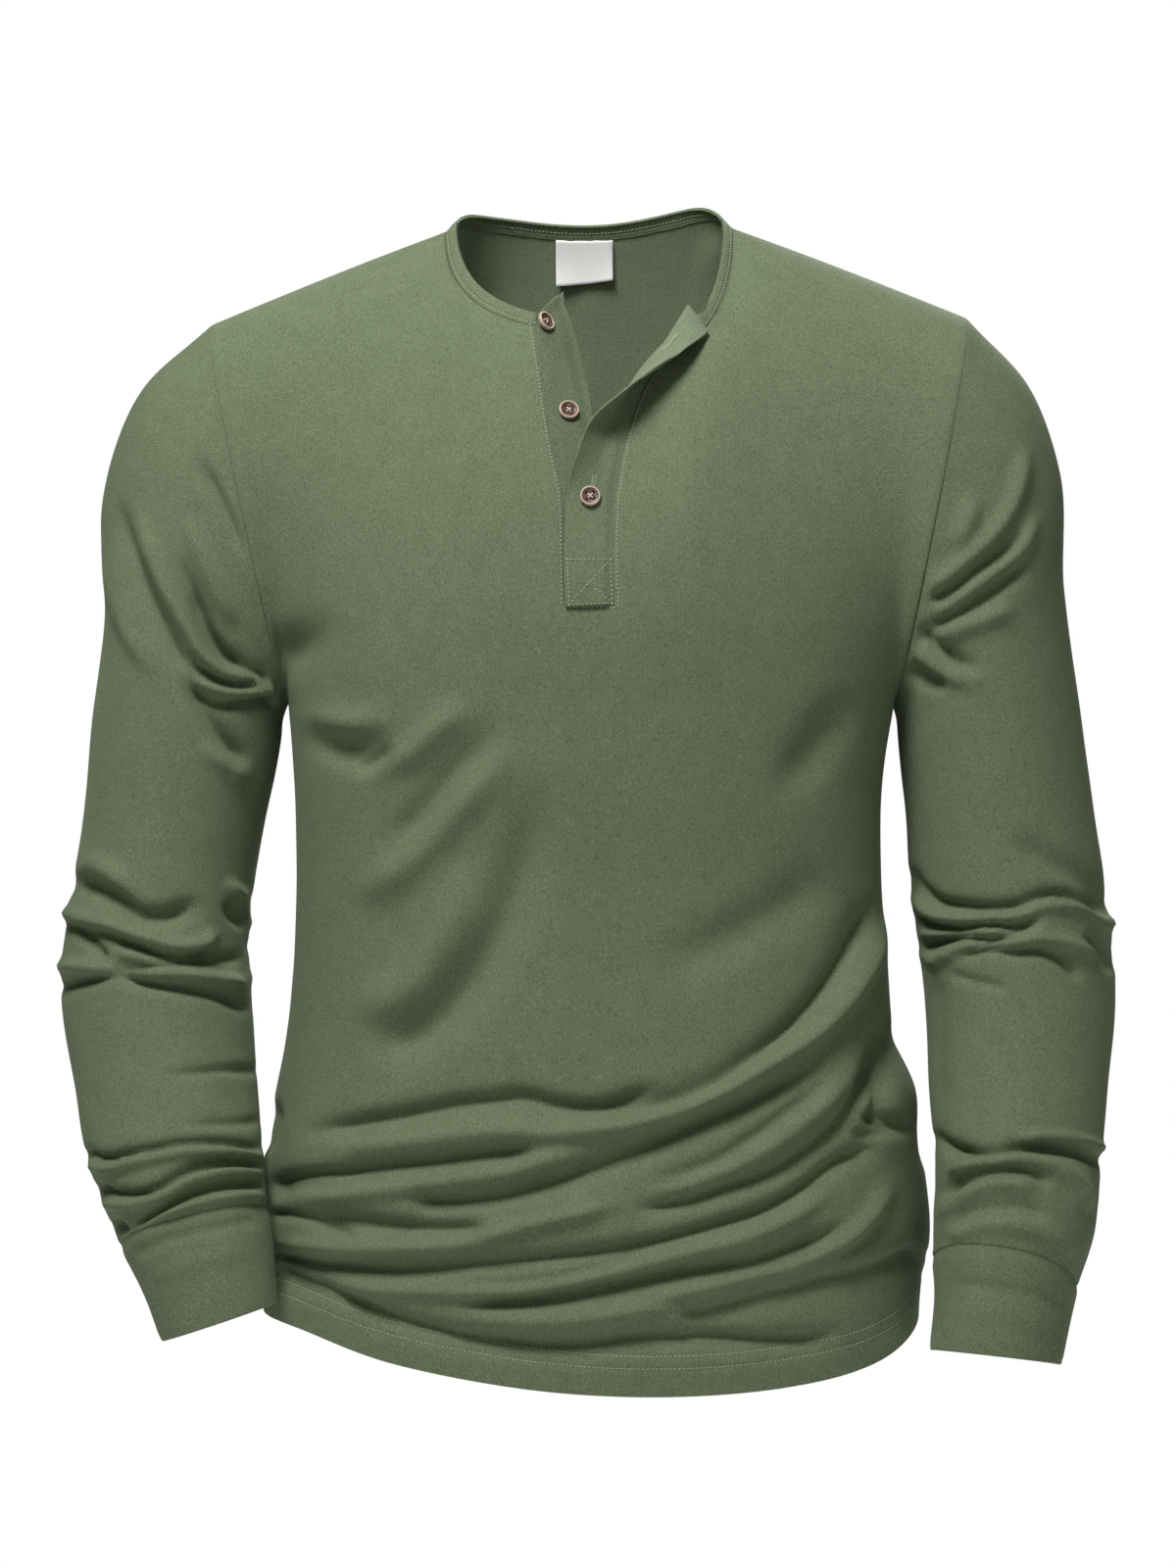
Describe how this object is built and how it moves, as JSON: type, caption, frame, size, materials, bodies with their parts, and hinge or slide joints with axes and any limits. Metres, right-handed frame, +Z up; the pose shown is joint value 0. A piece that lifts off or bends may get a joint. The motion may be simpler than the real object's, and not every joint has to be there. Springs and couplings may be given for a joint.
{
  "type": "henley shirt",
  "caption": "Long-sleeved henley shirt, filled out as if worn: hollow jersey body and sleeves with cuffs, a narrow neckband and a buttoned placket whose top is turned out.",
  "frame": {"origin": "midway between the two high shoulder points, where the wearer's neck and shoulders hold the shirt up", "axes": "+Z up along the body, +Y to the back, +X to the side of the wearer's left sleeve"},
  "size_m": [0.6345, 0.2477, 0.7053],
  "materials": {
    "jersey": "soft olive green jersey with a fine heather",
    "button": "plum brown with a paler rim",
    "label": "plain white satin tape"
  },
  "bodies": {
    "root": {"front": "jersey", "back": "jersey", "sleeve_left": "jersey", "sleeve_right": "jersey", "cuff_left": "jersey", "cuff_right": "jersey", "neckband": "jersey", "placket_under": "jersey", "placket_over": "jersey", "button_top": "button", "button_middle": "button", "button_bottom": "button", "neck_label": "label"}
  },
  "joints": []
}
